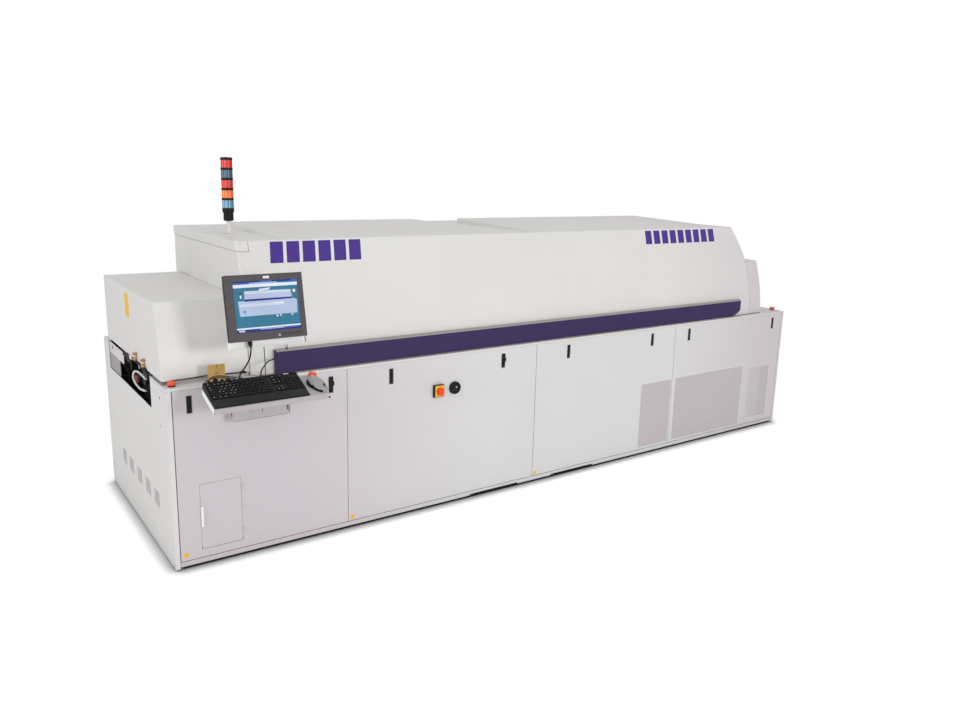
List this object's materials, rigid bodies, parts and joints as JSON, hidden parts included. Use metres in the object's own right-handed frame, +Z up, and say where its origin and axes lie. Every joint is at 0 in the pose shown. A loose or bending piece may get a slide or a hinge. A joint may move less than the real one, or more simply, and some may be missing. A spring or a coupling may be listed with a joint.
{
  "type": "reflow oven",
  "caption": "Inline convection reflow oven: floor cabinet, rear-hinged lifting hood, edge-rail and mesh-belt conveyors, lift-off front panels, operator shelf and signal tower.",
  "frame": {"origin": "centre of the overall footprint, on the floor", "axes": "+X along the board travel from infeed to outfeed, +Y from the operator's side to the rear, +Z up"},
  "size_m": [4.65, 1.7389, 1.951],
  "materials": {
    "white_coat": "satin powder coat",
    "lilac_coat": "satin powder coat",
    "purple_coat": "satin powder coat",
    "dark_metal": "matt black",
    "zinc_steel": "zinc plated",
    "stainless": "brushed",
    "rail_aluminium": "anodised",
    "black_plastic": "fine texture",
    "grey_plastic": "fine texture",
    "silver_plastic": "satin",
    "red_plastic": "gloss",
    "yellow_plastic": "gloss",
    "lens_plastic": "clear gloss",
    "foot_rubber": "matt"
  },
  "bodies": {
    "cabinet": {"base_frame": "zinc_steel", "levelling_feet": "foot_rubber", "infeed_end_panel": "white_coat", "outfeed_end_panel": "white_coat", "rear_panels": "white_coat", "top_deck": "white_coat", "infeed_cover": "white_coat", "outfeed_cover": "white_coat", "rear_housing": "white_coat", "lower_tunnel": "stainless", "lower_diffusers": "stainless", "lower_blowers": "zinc_steel", "electrical_cabinet": "zinc_steel", "hood_hinges": "zinc_steel", "conveyor_supports": "dark_metal", "fixed_rail": "rail_aluminium", "fixed_chain": "stainless", "conveyor_motor": "dark_metal", "mesh_belt": "stainless", "monitor_bracket": "white_coat", "estop_bases": "black_plastic", "lift_actuators": "zinc_steel"},
    "hood": {"hood_shell": "white_coat", "hood_top_cap": "white_coat", "hood_top_covers": "white_coat", "hood_handle": "purple_coat", "upper_tunnel": "stainless", "upper_diffusers": "stainless", "upper_blowers": "zinc_steel", "tower_post": "black_plastic", "tower_lenses": "lens_plastic"},
    "lift_rods": {"lift_rods": "stainless"},
    "panel_1": {"front_panel_1": "lilac_coat", "keyboard_tray": "white_coat", "keyboard": "black_plastic", "mouse": "silver_plastic"},
    "panel_2": {"front_panel_2": "lilac_coat", "main_switch_plate": "yellow_plastic"},
    "panel_3": {"front_panel_3": "lilac_coat"},
    "panel_4": {"front_panel_4": "lilac_coat"},
    "levers_1": {"latch_levers_1": "black_plastic"},
    "levers_2": {"latch_levers_2": "black_plastic"},
    "levers_3": {"latch_levers_3": "black_plastic"},
    "levers_4": {"latch_levers_4": "black_plastic"},
    "hatch": {"access_hatch": "lilac_coat"},
    "switch_knob": {"main_switch_knob": "red_plastic"},
    "stop_infeed": {"estop_infeed": "red_plastic"},
    "stop_front": {"estop_front": "red_plastic"},
    "stop_outfeed": {"estop_outfeed": "red_plastic"},
    "screen": {"monitor": "grey_plastic"},
    "moving_rail": {"moving_rail": "rail_aluminium", "moving_chain": "stainless"},
    "screw_infeed": {"lead_screw_infeed": "stainless"},
    "screw_outfeed": {"lead_screw_outfeed": "stainless"},
    "drive_shaft": {"drive_shaft": "stainless"},
    "moving_drive_wheel": {"drive_sprocket": "dark_metal"},
    "fixed_idler_wheel": {"idler_sprocket_fixed": "dark_metal"},
    "moving_idler_wheel": {"idler_sprocket_moving": "dark_metal"},
    "belt_drive": {"belt_drive_roller": "stainless"},
    "belt_idler": {"belt_idler_roller": "stainless"}
  },
  "joints": [
    {"name": "hood_lift", "type": "hinge", "parent": "cabinet", "child": "hood", "pos_m": [0, 0.769, 1.515], "axis": [-1, 0, 0], "range_deg": [0, 30]},
    {"name": "lift_stroke", "type": "slide", "parent": "cabinet", "child": "lift_rods", "axis": [0, 0, 1], "range_m": [0, 0.5764]},
    {"name": "panel_1_tilt", "type": "hinge", "parent": "cabinet", "child": "panel_1", "pos_m": [0, -0.527, 0.046], "axis": [1, 0, 0], "range_deg": [0, 15]},
    {"name": "latches_1_turn", "type": "hinge", "parent": "panel_1", "child": "levers_1", "pos_m": [0, -0.525, 0.785], "axis": [1, 0, 0], "range_deg": [0, 50]},
    {"name": "panel_2_tilt", "type": "hinge", "parent": "cabinet", "child": "panel_2", "pos_m": [0, -0.527, 0.046], "axis": [1, 0, 0], "range_deg": [0, 25]},
    {"name": "latches_2_turn", "type": "hinge", "parent": "panel_2", "child": "levers_2", "pos_m": [0, -0.525, 0.785], "axis": [1, 0, 0], "range_deg": [0, 50]},
    {"name": "panel_3_tilt", "type": "hinge", "parent": "cabinet", "child": "panel_3", "pos_m": [0, -0.527, 0.046], "axis": [1, 0, 0], "range_deg": [0, 25]},
    {"name": "latches_3_turn", "type": "hinge", "parent": "panel_3", "child": "levers_3", "pos_m": [0, -0.525, 0.785], "axis": [1, 0, 0], "range_deg": [0, 50]},
    {"name": "panel_4_tilt", "type": "hinge", "parent": "cabinet", "child": "panel_4", "pos_m": [0, -0.527, 0.046], "axis": [1, 0, 0], "range_deg": [0, 25]},
    {"name": "latches_4_turn", "type": "hinge", "parent": "panel_4", "child": "levers_4", "pos_m": [0, -0.525, 0.785], "axis": [1, 0, 0], "range_deg": [0, 50]},
    {"name": "hatch_swing", "type": "hinge", "parent": "panel_1", "child": "hatch", "pos_m": [-1.9985, -0.5295, 0.252], "axis": [0, 0, 1], "range_deg": [0, 110]},
    {"name": "main_switch_turn", "type": "hinge", "parent": "panel_2", "child": "switch_knob", "pos_m": [-0.862, -0.557, 0.701], "axis": [0, -1, 0], "range_deg": [0, 90]},
    {"name": "stop_infeed_press", "type": "slide", "parent": "cabinet", "child": "stop_infeed", "axis": [0, 0, -1], "range_m": [0, 0.005], "stiffness_N_per_m": 800, "springref_m": -0.002},
    {"name": "stop_front_press", "type": "slide", "parent": "panel_1", "child": "stop_front", "axis": [0, 0.2924, -0.9563], "range_m": [0, 0.005], "stiffness_N_per_m": 800, "springref_m": -0.002},
    {"name": "stop_outfeed_press", "type": "slide", "parent": "cabinet", "child": "stop_outfeed", "axis": [0, 0, -1], "range_m": [0, 0.005], "stiffness_N_per_m": 800, "springref_m": -0.002},
    {"name": "screen_tilt", "type": "hinge", "parent": "cabinet", "child": "screen", "pos_m": [-1.945, -0.681, 1.291], "axis": [1, 0, 0], "range_deg": [-10, 10]},
    {"name": "rail_width", "type": "slide", "parent": "cabinet", "child": "moving_rail", "axis": [0, 1, 0], "range_m": [-0.2, 0.25]},
    {"name": "screw_infeed_turn", "type": "hinge", "parent": "cabinet", "child": "screw_infeed", "pos_m": [-2.025, 0.169, 0.825], "axis": [0, 1, 0], "range_deg": [-7300, 9100]},
    {"name": "screw_outfeed_turn", "type": "hinge", "parent": "cabinet", "child": "screw_outfeed", "pos_m": [2.025, 0.169, 0.825], "axis": [0, 1, 0], "range_deg": [-7300, 9100]},
    {"name": "chain_drive", "type": "hinge", "parent": "cabinet", "child": "drive_shaft", "pos_m": [2.245, 0.169, 0.862], "axis": [0, 1, 0], "continuous": true},
    {"name": "moving_drive_turn", "type": "hinge", "parent": "moving_rail", "child": "moving_drive_wheel", "pos_m": [2.245, 0.139, 0.862], "axis": [0, 1, 0], "continuous": true},
    {"name": "fixed_idler_turn", "type": "hinge", "parent": "cabinet", "child": "fixed_idler_wheel", "pos_m": [-2.245, -0.12, 0.862], "axis": [0, 1, 0], "continuous": true},
    {"name": "moving_idler_turn", "type": "hinge", "parent": "moving_rail", "child": "moving_idler_wheel", "pos_m": [-2.245, 0.143, 0.862], "axis": [0, 1, 0], "continuous": true},
    {"name": "belt_drive_turn", "type": "hinge", "parent": "cabinet", "child": "belt_drive", "pos_m": [2.175, 0.156, 0.752], "axis": [0, 1, 0], "continuous": true},
    {"name": "belt_idler_turn", "type": "hinge", "parent": "cabinet", "child": "belt_idler", "pos_m": [-2.175, 0.156, 0.752], "axis": [0, 1, 0], "continuous": true}
  ],
  "couplings": [
    {"joint": "lift_stroke", "follows": "hood_lift", "m_per_rad": 1.0951},
    {"joint": "screw_infeed_turn", "follows": "rail_width", "rad_per_m": 628.32},
    {"joint": "screw_outfeed_turn", "follows": "rail_width", "rad_per_m": 628.32},
    {"joint": "moving_drive_turn", "follows": "chain_drive", "ratio": 1},
    {"joint": "fixed_idler_turn", "follows": "chain_drive", "ratio": 1},
    {"joint": "moving_idler_turn", "follows": "chain_drive", "ratio": 1},
    {"joint": "belt_idler_turn", "follows": "belt_drive_turn", "ratio": 1}
  ]
}
